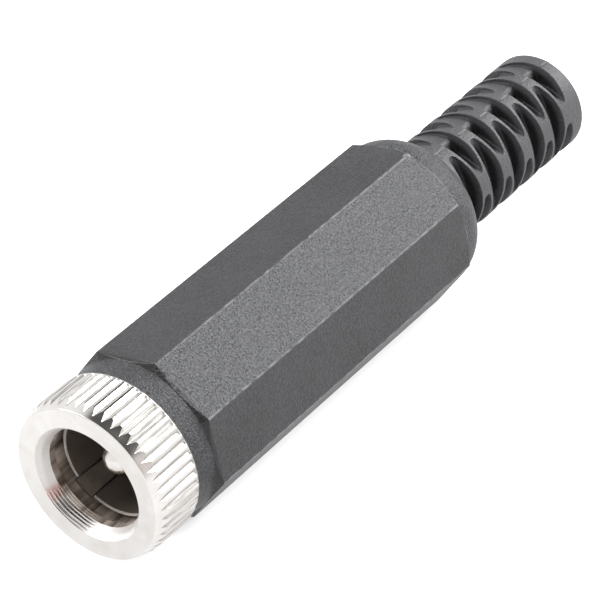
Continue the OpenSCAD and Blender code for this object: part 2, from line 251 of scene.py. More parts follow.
# lengths in mm, as in the other materials; zones are from and to which radius, from and to
# which depth, where 9 and 99 are past the shell's end
plating = {
    "metal": ("e2deda", "edebe9"), "gloss": (0.14, 0.22), "ringDepth": 0.003,
    "tarnish": ("6f6055", "dccfc4"), "tarnishMetal": 0.35, "tarnishDull": 0.15, "bright": "fff4ea",
    "chatterPitch": 0.1698, "chatterWander": 4.0, "chatterDepth": 0.011,
    "scrapedMetal": 0.6, "scrapedDull": 0.4,
    "oilRings": (0.08, 0.54), "oilPatch": 0.42, "heat": 0.65, "runOutDark": 0.3,
    "grooveDull": 0.46, "drawnLines": (0.1, 0.95), "chamferCone": (0.2933, 4.7653), "crownR": 5.0,
    "skim": 0.006,
    # the colours laid over the metal, in this order
    "layers": {"oil": "5c5048", "heat": "d3b2a8", "drawn": "b4b1ad", "runOutDark": "948d86"},
    "zones": {"lip": (0, 3.16, -1, 99), "deep": (0, 3.8, 1.2, 99), "lipFront": (0, 9, -1, 1.2),
              "cone": (0, 3.56, 0.03, 99), "flank": (0, 3.54, -1, 99),
              "knurl": (4.5, 9, 0.1, 3.6), "runOut": (0, 9, -1, 0.74)},
    # degrees round the axis, and the cosines where the patch begins and where it is full
    "sides": {"chatterSide": (228, 0.87, 0.95), "rubbedSide": (223, 0.975, 0.995),
              "oilSide": (222, 0.985, 0.998), "heatSide": (205, 0.987, 0.996)},
    # grains to a mm, detail and roughness. The feed of the lathe and the scratches of the
    # knurling wheel are finer than this, and are drawn coarse enough to show
    "patterns": {"rings": ("feed", 14, 3.0, 0.6), "wander": ("place", 0.7, 2.0, 0.5),
                 "cloud": ("place", 0.9, 3.0, 0.55), "smears": ("drawnOut", 1.3, 4.0, 0.6),
                 "scratches": ("drawnOut", 9, 2.0, 0.7)},
    "drawOut": 0.06,
}


def nickelPlate():
    # Turned brass under bright nickel: a warm white mirror, softened by the turning marks
    p = plating
    material, tree, shader, made = newMaterial("nickelPlatedBrass", {})
    made["feed"] = addNode(tree, "ShaderNodeCombineXYZ", {0: made["radius"], 1: made["y"]}).outputs[0]
    made["drawnOut"] = addNode(tree, "ShaderNodeMapping",
                               {0: made["place"], 3: (1.0, p["drawOut"], 1.0)}).outputs[0]
    for name, (vector, scale, detail, roughness) in p["patterns"].items():
        made[name] = addNode(tree, "ShaderNodeTexNoise", {
            "Vector": made[vector], "Scale": scale, "Detail": detail, "Roughness": roughness}).outputs[0]
    for name, span in p["zones"].items():
        made[name] = zone(tree, made, *span)
    for name, (degrees, low, high) in p["sides"].items():
        side = addNode(tree, "ShaderNodeVectorMath", {0: made["place"], 1: polar(degrees, 1, 0)},
                       operation="DOT_PRODUCT")
        side = addNode(tree, "ShaderNodeMath", {0: side.outputs["Value"], 1: made["radius"]},
                       operation="DIVIDE")
        made[name] = addNode(tree, "ShaderNodeMapRange", {0: side.outputs[0], 1: low, 2: high}).outputs[0]
    # noise keeps near its middle, so what it covers is stretched to the range that is wanted
    for name, source, low, high, least, most in (
            ("tone", "cloud", 0.3, 0.7, 0.0, 1.0), ("gloss", "cloud", 0.3, 0.7, *p["gloss"]),
            ("smears", "smears", 0.36, 0.62, 0.0, 1.0),
            ("scratches", "scratches", 0.36, 0.6, *p["drawnLines"])):
        made[name] = addNode(tree, "ShaderNodeMapRange", {
            0: made[source], 1: low, 2: high, 3: least, 4: most}).outputs[0]

    # the tool chattered on one side of the countersink only, and oil sits between its rings
    phase = addNode(tree, "ShaderNodeMath", {0: made["behind"], 1: math.tau / p["chatterPitch"]},
                    operation="MULTIPLY")
    phase = addNode(tree, "ShaderNodeMath", operation="MULTIPLY_ADD", inputs={
        0: made["wander"], 1: p["chatterWander"], 2: phase.outputs[0]})
    made["wave"] = addNode(tree, "ShaderNodeMath", {0: phase.outputs[0]}, operation="SINE").outputs[0]
    made["oilRings"] = addNode(tree, "ShaderNodeMapRange", {
        0: made["wave"], 1: -0.1, 2: 0.7, 3: p["oilRings"][0], 4: p["oilRings"][1]}).outputs[0]

    # each step takes numbers and what the steps above it made
    for name, operation, *values in (
            ("chatter", "MULTIPLY", "wave", "cone"),
            ("chatter", "MULTIPLY", "chatter", "chatterSide"),
            ("relief", "MULTIPLY", "rings", p["ringDepth"]),
            ("relief", "MULTIPLY_ADD", "chatter", p["chatterDepth"], "relief"),
            # inside the lip the plating is thin, and one side of it has been rubbed bright again
            ("bore", "MAXIMUM", "lip", "deep"),
            ("rubbed", "MULTIPLY", "rubbedSide", "lipFront"),
            # away from the chatter the countersink is scraped to a soft white
            ("scraped", "MAXIMUM", "bore", "chatterSide"),
            ("scraped", "SUBTRACT", 1.0, "scraped"),
            ("scraped", "MULTIPLY", "scraped", "cone"),
            ("metal", "MULTIPLY_ADD", "bore", p["tarnishMetal"] - 1, 1.0),
            ("metal", "MULTIPLY_ADD", "scraped", -p["scrapedMetal"], "metal"),
            # the rolled grooves of the knurl are satin, the turned lands between them stay bright:
            # a groove lies inside the chamfer's cone and the ring's cylinder
            ("sunk", "MULTIPLY_ADD", "behind", *p["chamferCone"]),
            ("sunk", "MINIMUM", "sunk", p["crownR"]),
            ("sunk", "SUBTRACT", "sunk", "radius"),
            ("sunk", "GREATER_THAN", "sunk", p["skim"]),
            ("sunk", "MULTIPLY", "sunk", "knurl"),
            ("satin", "MULTIPLY", "sunk", p["grooveDull"]),
            ("soft", "MULTIPLY", "scraped", p["scrapedDull"]),
            ("dull", "MULTIPLY_ADD", "bore", p["tarnishDull"], "gloss"),
            ("dull", "MAXIMUM", "dull", "satin"),
            ("dull", "MAXIMUM", "dull", "soft"),
            # oil on the chattered patch, and heat that has tinted one edge of it
            ("open", "SUBTRACT", 1.0, "bore"),
            ("flank", "MULTIPLY", "flank", "open"),
            ("oil", "MULTIPLY", "oilSide", p["oilPatch"]),
            ("oil", "MAXIMUM", "oil", "oilRings"),
            ("oil", "MULTIPLY", "oil", "chatterSide"),
            ("oil", "MULTIPLY", "oil", "flank"),
            ("heat", "MULTIPLY", "heatSide", p["heat"]),
            ("heat", "MULTIPLY", "heat", "flank"),
            # the knurling wheel leaves lines along the grooves, and their run-outs towards the front are
            # darker
            ("drawn", "MULTIPLY", "scratches", "sunk"),
            ("runOutDark", "MULTIPLY", "sunk", p["runOutDark"]),
            ("runOutDark", "MULTIPLY", "runOutDark", "runOut")):
        made[name] = addNode(tree, "ShaderNodeMath", operation=operation, inputs={
            i: made.get(value, value) for i, value in enumerate(values)}).outputs[0]

    colours = []
    for share, (dark, light) in (("tone", p["metal"]), ("smears", p["tarnish"])):
        colours.append(addNode(tree, "ShaderNodeMix", data_type="RGBA", inputs={
            0: made[share], 6: linear(dark), 7: linear(light)}).outputs[2])
    tarnish = addNode(tree, "ShaderNodeMix", data_type="RGBA", inputs={
        0: made["rubbed"], 6: colours[1], 7: linear(p["bright"])})
    colour = addNode(tree, "ShaderNodeMix", data_type="RGBA", inputs={
        0: made["bore"], 6: colours[0], 7: tarnish.outputs[2]})
    for name, code in p["layers"].items():
        colour = addNode(tree, "ShaderNodeMix", data_type="RGBA", inputs={
            0: made[name], 6: colour.outputs[2], 7: linear(code)})
    bump = addNode(tree, "ShaderNodeBump", {
        "Height": made["relief"], "Strength": 1.0, "Distance": millimetre})
    tree.links.new(colour.outputs[2], shader.inputs["Base Color"])
    tree.links.new(made["metal"], shader.inputs["Metallic"])
    tree.links.new(made["dull"], shader.inputs["Roughness"])
    tree.links.new(bump.outputs[0], shader.inputs["Normal"])
    return material


def plainNickel(name, looks):
    # Drawn and pressed metal: smoother than the turned shell, with faint smears 0.7 mm wide
    material, tree, shader, where = newMaterial(name, {"Metallic": looks["metallic"]})
    cloud = addNode(tree, "ShaderNodeTexNoise", {"Vector": where["place"],
                    "Scale": 1.5, "Detail": 4.0, "Roughness": 0.6}).outputs[0]
    tone = addNode(tree, "ShaderNodeMix", data_type="RGBA", inputs={
        0: cloud, 6: linear(looks["dark"]), 7: linear(looks["light"])}).outputs[2]
    if "edge" in looks:
        # the sheared front edge gets a painted highlight
        tone = addNode(tree, "ShaderNodeMix", data_type="RGBA", inputs={
            0: zone(tree, where, *looks["edge"]), 6: tone, 7: linear(looks["sheared"])}).outputs[2]
    tree.links.new(tone, shader.inputs["Base Color"])
    rough = addNode(tree, "ShaderNodeMapRange", {
        0: cloud, 1: 0.3, 2: 0.7, 3: looks["rough"][0], 4: looks["rough"][1]})
    tree.links.new(rough.outputs[0], shader.inputs["Roughness"])
    return material


def grainedPlastic(name, looks):
    # Moulded plastic: the mould's spark-eroded grain breaks up every highlight. It is drawn
    # coarser than it is, so that it shows
    material, tree, shader, where = newMaterial(name, {"IOR": looks["ior"]})
    grain = addNode(tree, "ShaderNodeTexNoise", {"Vector": where["place"],
                    "Scale": 1 / looks["grain"], "Detail": 2.0, "Roughness": 0.55}).outputs[0]
    slow = addNode(tree, "ShaderNodeTexNoise", {"Vector": where["place"], "Scale": 0.3, "Detail": 3.0})
    both = addNode(tree, "ShaderNodeMath", {0: grain, 1: slow.outputs[0]}, operation="ADD")
    share = addNode(tree, "ShaderNodeMapRange", {0: both.outputs[0], 1: 0.75, 2: 1.25})
    tone = addNode(tree, "ShaderNodeMix", data_type="RGBA", inputs={
        0: share.outputs[0], 6: linear(looks["dark"]), 7: linear(looks["light"])})
    if "skin" in looks:
        # the windows' floors get painted shade, and flash that stands proud of the skin gets a painted
        # highlight
        deep = addNode(tree, "ShaderNodeMapRange", {
            0: where["radius"], 1: looks["deep"][0], 2: looks["deep"][1], 3: 1.0, 4: 0.0})
        proud = addNode(tree, "ShaderNodeMath", {0: where["radius"], 1: looks["skin"]},
                        operation="GREATER_THAN")
        for mask, code in ((deep, looks["floor"]), (proud, looks["flashHighlight"])):
            tone = addNode(tree, "ShaderNodeMix", data_type="RGBA", inputs={
                0: mask.outputs[0], 6: tone.outputs[2], 7: linear(code)})
    tree.links.new(tone.outputs[2], shader.inputs["Base Color"])
    rough = addNode(tree, "ShaderNodeMapRange", {
        0: grain, 1: 0.3, 2: 0.7, 3: looks["rough"][0], 4: looks["rough"][1]})
    tree.links.new(rough.outputs[0], shader.inputs["Roughness"])
    bump = addNode(tree, "ShaderNodeBump", {
        "Height": grain, "Strength": looks["strength"], "Distance": looks["depth"] * millimetre})
    tree.links.new(bump.outputs[0], shader.inputs["Normal"])
    return material


grip = {
    "ior": 1.55, "grain": 0.12, "depth": 0.1, "rough": (0.36, 0.46), "dark": "18191a", "light": "5c5d62",
    # the flats at 0, 90, 180 and 270 degrees have a finer grain, and a darker tone that is painted shade
    "fineShadeDark": "151516", "fineShadeLight": "232325", "fineShare": 0.7, "fineRough": 0.36,
    "body": (4.9, 29.6), "collarShade": 0.42, "shoulderShade": 0.3,
    # the corners' front chamfers, painted near black as shade
    "creaseShade": "0c0c0e", "creaseZone": (4.985, 9, 4.86, 5.2), "creaseRough": 0.22,
    # pale wear on the long edges; the line where the flats end and the ring round the nub are painted
    # highlights
    "wearAndHighlight": "77777a", "edgeR": 5.386, "rearLine": (29.555, 29.645), "rearShare": 0.6,
    "nub": (2.04, 28.32, 4.93), "nubRing": (0.08, 0.24),
}


def gripPlastic():
    # Moulded ABS: spark-eroded grain glitters on the slanted flats and is finer on the others, whose
    # darker tone is painted shade;
    # the corners' chamfers are painted near black as shade, as are the collar and the shoulder in part,
    # the handled long edges have worn pale, and the line where the flats end and the ring round the nub
    # are painted highlights
    g = grip
    material, tree, shader, made = newMaterial("mouldedAbs", {"IOR": g["ior"]})
    # grains to a mm and detail; the eroded grain is drawn coarser than it is, so that it shows
    for name, scale, detail, roughness in (("grain", 1 / g["grain"], 2.0, 0.6), ("slow", 0.22, 2.0, 0.5),
                                           ("patches", 1.6, 3.0, 0.5)):
        made[name] = addNode(tree, "ShaderNodeTexNoise", {
            "Vector": made["place"], "Scale": scale, "Detail": detail, "Roughness": roughness}).outputs[0]
    made["nub"] = addNode(tree, "ShaderNodeVectorMath", {0: made["place"], 1: g["nub"]},
                          operation="DISTANCE").outputs["Value"]
    for name, source, low, high, least, most in (
            ("share", "grain", 0.36, 0.66, 0.0, 1.0), ("slow", "slow", 0.35, 0.65, 0.0, 1.0),
            ("patches", "patches", 0.35, 0.65, 0.15, 1.0), ("rough", "grain", 0.3, 0.7, *g["rough"])):
        made[name] = addNode(tree, "ShaderNodeMapRange", {
            0: made[source], 1: low, 2: high, 3: least, 4: most}).outputs[0]

    # two bands along the axis and the ring round the nub
    # painted shade on the corners' front chamfers
    made["creaseShade"] = zone(tree, made, *g["creaseZone"])
    for name, source, (low, high) in (
            ("middle", "behind", g["body"]), ("rear", "behind", g["rearLine"]),
            ("ring", "nub", g["nubRing"])):
        made[name] = addNode(tree, "ShaderNodeMath", operation="COMPARE", inputs={
            0: made[source], 1: (low + high) / 2, 2: (high - low) / 2}).outputs[0]

    # each step takes numbers and what the steps above it made
    for name, operation, *values in (
            # how far a flat turns from the nearest of X and Z
            ("wide", "ABSOLUTE", "x"),
            ("high", "ABSOLUTE", "z"),
            ("less", "MINIMUM", "wide", "high"),
            ("more", "MAXIMUM", "wide", "high"),
            ("slope", "DIVIDE", "less", "more"),
            ("fine", "LESS_THAN", "slope", math.tan(math.radians(22.5))),
            ("fine", "MULTIPLY", "fine", "middle"),
            ("finer", "MULTIPLY", "fine", g["fineShare"]),
            # painted shade darkens the collar behind the ring and the shoulder behind the flats
            ("collar", "LESS_THAN", "behind", g["body"][0]),
            ("collar", "MULTIPLY", "collar", g["collarShade"]),
            ("shaded", "GREATER_THAN", "behind", g["body"][1]),
            ("shaded", "MULTIPLY_ADD", "shaded", g["shoulderShade"], "collar"),
            # pale wear on the eight long edges, and painted highlights on the line where the flats end
            # and on the ring round the nub
            ("wearAndHighlight", "GREATER_THAN", "radius", g["edgeR"]),
            ("wearAndHighlight", "MULTIPLY", "wearAndHighlight", "patches"),
            ("rear", "MULTIPLY", "rear", g["rearShare"]),
            ("wearAndHighlight", "MAXIMUM", "wearAndHighlight", "rear"),
            ("wearAndHighlight", "MAXIMUM", "wearAndHighlight", "ring")):
        made[name] = addNode(tree, "ShaderNodeMath", operation=operation, inputs={
            i: made.get(value, value) for i, value in enumerate(values)}).outputs[0]

    # the four flats along X and Z take a darker tone, painted shade
    fine = addNode(tree, "ShaderNodeMix", data_type="RGBA", inputs={
        0: made["slow"], 6: linear(g["fineShadeDark"]), 7: linear(g["fineShadeLight"])}).outputs[2]
    colour = addNode(tree, "ShaderNodeMix", data_type="RGBA", inputs={
        0: made["share"], 6: linear(g["dark"]), 7: linear(g["light"])})
    for name, shade in (("finer", fine), ("shaded", linear(g["creaseShade"])),
                        ("creaseShade", linear(g["creaseShade"])), ("wearAndHighlight", linear(g["wearAndHighlight"]))):
        colour = addNode(tree, "ShaderNodeMix", data_type="RGBA", inputs={
            0: made[name], 6: colour.outputs[2], 7: shade})
    tree.links.new(colour.outputs[2], shader.inputs["Base Color"])
    rough = addNode(tree, "ShaderNodeMix", {0: made["fine"], 2: made["rough"], 3: g["fineRough"]})
    rough = addNode(tree, "ShaderNodeMix", {0: made["creaseShade"], 2: rough.outputs[0], 3: g["creaseRough"]})
    tree.links.new(rough.outputs[0], shader.inputs["Roughness"])
    height = addNode(tree, "ShaderNodeMix", {0: made["finer"], 2: made["grain"], 3: 0.5})
    bump = addNode(tree, "ShaderNodeBump", {
        "Height": height.outputs[0], "Strength": 1.0, "Distance": g["depth"] * millimetre})
    tree.links.new(bump.outputs[0], shader.inputs["Normal"])
    return material


nickel = nickelPlate()
housingPlastic = gripPlastic()
bootPlastic = grainedPlastic("softPvc", {
    "dark": "434346", "light": "4b4b4e", "ior": 1.55, "grain": 0.15, "depth": 0.06, "strength": 1.0,
    # the floor colour is painted shade in the windows, the flash colour a painted highlight
    "rough": (0.46, 0.58), "skin": 3.31, "flashHighlight": "626264", "deep": (2.7, 3.0), "floor": "1e1e20"})
insulatorPlastic = grainedPlastic("mouldedNylon", {
    "dark": "3a3734", "light": "46423e", "ior": 1.5, "grain": 0.2, "depth": 0.004,
    "strength": 0.5, "rough": (0.45, 0.55)})
washerFibre = grainedPlastic("vulcanisedFibre", {
    "dark": "5a3a22", "light": "6e4a2c", "ior": 1.5, "grain": 0.08, "depth": 0.01,
    "strength": 0.6, "rough": (0.65, 0.75)})
# the sleeve's nickel is darkened as painted shade deep inside the mouth, and its front edge gets a
# painted highlight
sleeveNickel = plainNickel("springBronzeNickel", {
    "dark": "71685f", "light": "877c73", "rough": (0.4, 0.65), "metallic": 0.65,
    "edge": (0, 3.41, -1, 2.2), "sheared": "fffaf4"})
pinNickel = plainNickel("polishedNickel", {
    "dark": "dfdcd8", "light": "eeecea", "rough": (0.16, 0.26), "metallic": 1.0})
tagTin = plainNickel("tinPlate", {
    "dark": "b9b6b0", "light": "cbc9c4", "rough": (0.28, 0.455), "metallic": 1.0})
print("materials ready")


# lengths in mm, behind the front face where they run along the axis; so are the next two
shell = {
    "ringR": 5.0, "ringL": 3.5, "ridges": 50, "ridgeAt": 2.6, "grooveDepth": 0.15,
    "noseR": 4.72, "noseL": 0.05, "chamferR": 4.78, "chamferL": 0.8, "rearCut": 0.05,
    "mouthR": 3.58, "mouthMidR": 3.35, "lipR": 3.15, "lipFrom": 0.78, "lipTo": 1.23,
    "boreR": 3.65, "boreCone": 0.1, "rootR": 3.95, "rootL": 0.8, "threadR": 4.2, "threadRise": 0.25,
    "end": 10.5, "runOut": 0.13, "rimDrop": 0.02, "rimShare": 0.12,
}
# across one pitch, from a crest's middle to the groove's: how deep the surface lies, as a
# share of the groove's depth
crestProfile = [(0, 0), (0.08, 0), (0.11, 0.01), (0.135, 0.05), (0.165, 0.13), (0.21, 0.26),
                (0.275, 0.43), (0.41, 0.78), (0.48, 0.98), (0.5, 1.0)]


def shellColumn(sunk):
    # one closed section of the shell where the knurl lies sunk below its crests, in mm;
    # the grooves run out into a plain rim at the rear
    s = shell
    top = s["ringR"] - sunk
    rim = s["ringR"] - s["rimDrop"] - sunk * s["rimShare"]
    slope = (s["ringR"] - s["chamferR"]) / (s["chamferL"] - s["noseL"])
    frontY = s["noseL"] + (top - s["chamferR"]) / slope
    rear = s["ringL"] - s["rearCut"]
    corners = [
        (0, s["mouthR"], 0.04), (0, s["noseR"], 0.05), (s["noseL"], s["chamferR"], 0.02),
        (frontY, top, 0.03), (rear - s["runOut"], top, 0.05), (rear - 0.03, rim, 0.04),
        (s["ringL"], rim - s["rearCut"], 0.02),
        (s["ringL"], s["rootR"], 0.05), (s["ringL"] + s["rootL"], s["rootR"], 0.05),
        (s["ringL"] + s["rootL"] + s["threadRise"], s["threadR"], 0.05),
        (s["end"] - s["threadRise"], s["threadR"], 0.03), (s["end"], s["rootR"], 0.03),
        (s["end"], s["boreR"], 0.03), (s["lipTo"] + s["boreCone"], s["boreR"], 0.05),
        (s["lipTo"], s["lipR"], 0.03),
        (s["lipFrom"], s["lipR"], 0.04), (s["lipFrom"] * 0.42, s["mouthMidR"], 0.8),
    ]
    return roundPath(corners, steps=3)


def ridgeTree():
    # copies one sector of the shell around the Y axis and welds the sectors
    tree, given = newTree("ridgesAround", {"Ridges": "Int", "First Angle": "Float"})
    points = addNode(tree, "GeometryNodePoints", {"Count": given["Ridges"]})
    index = addNode(tree, "GeometryNodeInputIndex").outputs[0]
    pitch = addNode(tree, "ShaderNodeMath", {0: math.tau, 1: given["Ridges"]}, operation="DIVIDE")
    angle = addNode(tree, "ShaderNodeMath",
                    {0: index, 1: pitch.outputs[0], 2: given["First Angle"]}, operation="MULTIPLY_ADD")
    back = addNode(tree, "ShaderNodeMath", {0: angle.outputs[0], 1: -1.0}, operation="MULTIPLY")
    turn = addNode(tree, "ShaderNodeCombineXYZ", {1: back.outputs[0]})
    copies = addNode(tree, "GeometryNodeInstanceOnPoints",
                     {"Points": points.outputs[0], "Instance": given["Geometry"],
                      "Rotation": turn.outputs[0]})
    endTree(tree, copies.outputs[0], given["Finish"], 0.002)
    return tree


across = [(-share, part) for share, part in reversed(crestProfile)] + crestProfile[1:]
sectorPoints = []
for share, part in across:
    section = shellColumn(shell["grooveDepth"] * part)
    sectorPoints += [polar(share * 360 / shell["ridges"], r, y) for y, r in section]
turnedShell = makeMesh("turnedShell", sectorPoints,
                       loftFaces(len(across), len(section), False, True))
around = turnedShell.modifiers.new("ridges", "NODES")
around.node_group = ridgeTree()
setInputs(around, {"Ridges": shell["ridges"], "First Angle": math.radians(shell["ridgeAt"]),
                   "Finish": nickel})
bakeTree(turnedShell)
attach(turnedShell, "root")
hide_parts("front_shell")
print("shell done:", len(turnedShell.data.polygons), "faces")


housing = {
    "halfFlat": 5.0, "edgeR": 0.14, "ringL": 3.5, "collarR": 4.8, "collarTopR": 4.97,
    "bodyFrom": 4.9, "bodyTo": 29.6, "chamfer": 0.3, "shoulderFrom": 29.96, "shoulderR": 2.2,
    "end": 31.83, "holeR": 3.33, "cavityR": 4.0, "cavityTo": 28.53, "threadR": 4.25,
    "threadTo": 11.5, "nubAt": 67.5, "nubY": 29.1, "nubR": 0.2, "nubOut": 0.1, "shoulderIn": 0.03,
}
cornerR = housing["halfFlat"] / math.cos(math.radians(22.5))


def octagonOutline():
    # (angle, distance from the axis) round an octagon whose edges have a small radius
    h = housing
    corners = [(*polar(22.5 + 45 * i, cornerR, 0)[::2], h["edgeR"]) for i in range(8)]
    path = roundPath(corners, steps=5, guard=0.04)
    perCorner = len(path) // 8
    runs = [10 if (i + 1) % perCorner == 0 else 1 for i in range(len(path))]
    path = splitLong(path, runs)
    return [(math.degrees(math.atan2(p.y, p.x)), p.length) for p in path]


def housingColumn(reach):
    # one closed section of the housing where the octagon lies at this reach
    h = housing
    step = (reach - h["collarTopR"]) / (cornerR - h["collarTopR"]) * h["chamfer"]
    rounded = []
    middle = h["halfFlat"] - h["shoulderR"]
    last = math.asin((h["end"] - h["shoulderFrom"]) / h["shoulderR"])
    for k in range(1, 13):
        a = last * k / 12
        rounded.append((h["shoulderFrom"] + h["shoulderR"] * math.sin(a),
                        middle + h["shoulderR"] * math.cos(a) - h["shoulderIn"] * (1 - k / 12), 0))
    corners = [
        (h["ringL"], h["threadR"], 0.05), (h["ringL"], h["collarR"], 0.08),
        (h["bodyFrom"], h["collarTopR"], 0.03),
        (h["bodyFrom"] + step, reach, 0.05), (h["bodyTo"] - step, reach, 0.05),
        (h["bodyTo"], h["collarTopR"], 0.03), (h["shoulderFrom"], h["collarTopR"], 0),
        *rounded[:-1], (rounded[-1][0], rounded[-1][1], 0.06),
        (h["end"], h["holeR"], 0.06),
        (h["cavityTo"], h["holeR"], 0.05), (h["cavityTo"], h["cavityR"], 0.05),
        (h["threadTo"] + 0.2, h["cavityR"], 0.03), (h["threadTo"], h["threadR"], 0.03),
    ]
    return roundPath(corners, steps=3)


outline = octagonOutline()
housingPoints = []
for angle, reach in outline:
    section = housingColumn(reach)
    longRun = max(range(len(section) - 1), key=lambda i: section[i + 1].x - section[i].x)
    runs = [24 if i == longRun else 1 for i in range(len(section))]
    section = splitLong(section, runs)
    housingPoints += [polar(angle, r, y) for y, r in section]
housingFaces = loftFaces(len(outline), len(section), True, True)


def addDome(points, faces, centre, out, side, radius, rings=6, around=20):
    # a small closed ball for the gate's nub, with out as its pole
    first = len(points)
    along = out.cross(side)
    points.append(tuple(centre - out * radius))
    for i in range(1, rings):
        tilt = math.pi * i / rings
        for j in range(around):
            turn = math.tau * j / around
            flat = side * math.cos(turn) + along * math.sin(turn)
            points.append(tuple(centre + (flat * math.sin(tilt) - out * math.cos(tilt)) * radius))
    points.append(tuple(centre + out * radius))
    last = len(points) - 1
    for j in range(around):
        k = (j + 1) % around
        faces.append((first, first + 1 + k, first + 1 + j))
        for i in range(rings - 2):
            a = first + 1 + i * around
            faces.append((a + j, a + k, a + around + k, a + around + j))
        a = first + 1 + (rings - 2) * around
        faces.append((a + j, a + k, last))


outward = Vector(polar(housing["nubAt"], 1, 0))
nubCentre = outward * (cornerR + housing["nubOut"] - housing["nubR"]) + Vector((0, housing["nubY"], 0))
addDome(housingPoints, housingFaces, nubCentre, outward, Vector((0, 1, 0)), housing["nubR"])
octagonHousing = makeMesh("octagonHousing", housingPoints, housingFaces)
tidyMesh(octagonHousing.data)
octagonHousing.data.materials.append(housingPlastic)
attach(octagonHousing, "root")
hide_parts("housing")
print("housing done:", len(octagonHousing.data.polygons), "faces")


boot = {
    "outR": 3.3, "flangeR": 3.9, "flangeFrom": 27.03, "flangeTo": 28.53, "end": 45.23,
    "endRound": 0.2, "boreR": 2.0, "boreChamfer": 0.25, "columns": 6, "rows": 5, "pitch": 2.32,
    "firstY": 33.18, "firstAngle": 7.5, "windowW": 1.3, "endR": 0.34, "floor": 2.2,
    "short": 0.03, "rim": 0.05, "foot": 0.12, "samples": 24, "ribBend": 0.079, "neckFrom": 31.7,
    # the mould parts at this angle and opposite it; past it, over these degrees, the windows'
    # floors rise and fall again, by a share of their depth
    "partingAt": 67.5, "barR": 0.08, "barGap": 0.12, "riseOver": (-5, 9), "fallOver": (38, 62),
    "rise": 0.72, "skin": 0.06,
}
halfLong = math.sqrt(boot["outR"] ** 2 - boot["floor"] ** 2) - boot["short"]


def ovalPoint(share):
    # a point of the oval window: two long side arcs that run into two round ends
    b = boot
    half = b["windowW"] / 2
    sideR = (halfLong ** 2 + half ** 2 - 2 * halfLong * b["endR"]) / (2 * (half - b["endR"]))
    endX = halfLong - b["endR"]
    tangentX = endX * sideR / (sideR - b["endR"])
    across = abs(share) * halfLong
    if across <= tangentX:
        width = math.sqrt(sideR ** 2 - across ** 2) - (sideR - half)
    else:
        width = math.sqrt(max(b["endR"] ** 2 - (across - endX) ** 2, 0))
    return math.copysign(across, share), width


def ribShare(share):
    # how far the rib's middle lies from one window's axis to the next one's, 1 to 0
    return 1 - share - boot["ribBend"] * math.sin(math.tau * share)


def windowCell():
    # the boot's skin round one window: the cell is a rhombus, so that cells of staggered
    # columns meet edge to edge
    b = boot
    n = b["samples"]
    shares = [k / n for k in range(-n, n)] + [-k / n for k in range(-n, n)]
    rim, edge = [], []
    for i, share in enumerate(shares):
        side = 1 if i < 2 * n else -1
        # samples crowd towards the round ends
        across, width = ovalPoint(math.sin(share * math.pi / 2))
        rim.append(Vector((across, width * side)))
        # the cell's edge bends with the rib between two windows
        high = b["pitch"] / 2 * ribShare(abs(share))
        edge.append((share * 360 / b["columns"], high * side))
    count = len(shares)
    outs = []
    for i in range(count):
        along = rim[(i + 1) % count] - rim[i - 1]
        outs.append(Vector((-along.y, along.x)).normalized())

    def skin(across, depth=0):
        return math.sqrt(max(b["outR"] ** 2 - across ** 2, 0)) - depth

    def depthAt(point):
        return max(skin(point.x) - b["floor"], 0.004)

    # the skin, from the cell's edge to a guard line just outside the rim
    guard = []
    for point, out in zip(rim, outs):
        p = point + out * (b["rim"] + 0.03)
        guard.append((math.degrees(math.asin(min(max(p.x / b["outR"], -1), 1))), p.y))
    loops = [[polar(e[0] * (1 - t) + g[0] * t, b["outR"], e[1] * (1 - t) + g[1] * t)
              for e, g in zip(edge, guard)] for t in (0, 0.25, 0.5, 0.75, 1)]
    # the rim's rounding, the wall, the fillet at the wall's foot and the flat floor
    for k in range(5):
        t = k / 4 * math.pi / 2
        loop = []
        for point, out in zip(rim, outs):
            fillet = min(b["rim"], depthAt(point) * 0.7)
            p = point + out * fillet * (1 - math.sin(t))
            loop.append((skin(p.x, fillet * (1 - math.cos(t))), p.y, p.x))
        loops.append(loop)
    for share in (0.35, 0.7):
        loops.append([(skin(p.x) - depthAt(p) * share, p.y, p.x) for p in rim])
    for k in range(5):
        t = k / 4 * math.pi / 2
        loop = []
        for point, out in zip(rim, outs):
            foot = min(b["foot"], depthAt(point) * 0.25, abs(point.y) * 0.8)
            p = point - out * foot * (1 - math.cos(t))
            loop.append((b["floor"] + foot * (1 - math.sin(t)), p.y, p.x))
        loops.append(loop)
    for t in (0.6, 0.3, 0):
        loops.append([(b["floor"], point.y * t, point.x) for point in rim])
    return [p for loop in loops for p in loop], loftFaces(len(loops), count, False, True)


def bootEnds():
    # everything of the boot but the cells: its two ends, its flange and its bore
    b = boot
    n = b["samples"]
    points = []
    steps = b["columns"] * n
    backY = b["firstY"] + (b["rows"] - 1) * b["pitch"] + b["pitch"] / 2
    for i in range(steps):
        angle = b["firstAngle"] + i * 360 / steps
        column, part = divmod(i, n)
        share = part / n if column % 2 == 0 else 1 - part / n
        front = b["firstY"] - b["pitch"] / 2 * ribShare(share)
        back = backY + b["pitch"] / 2 * ribShare(1 - share)
        straight = b["end"] - b["endRound"] - 0.02
        chamfer = b["boreR"] + b["boreChamfer"]
        corners = [
            (back, b["outR"], 0), ((back + straight) / 2, b["outR"], 0),
            (b["end"], b["outR"], b["endRound"]),
            (b["end"], chamfer, 0.05), (b["end"] - b["boreChamfer"], b["boreR"], 0.05),
            (b["flangeFrom"], b["boreR"], 0.05), (b["flangeFrom"], b["flangeR"], 0.08),
            (b["flangeTo"], b["flangeR"], 0.08), (b["flangeTo"], b["outR"], 0.05),
            (b["neckFrom"], b["outR"], 0), ((b["neckFrom"] + front) / 2, b["outR"], 0),
            (front, b["outR"], 0),
        ]
        section = roundPath(corners, closed=False)
        points += [polar(angle, r, y) for y, r in section]
    return points, loftFaces(steps, len(section), True, False)


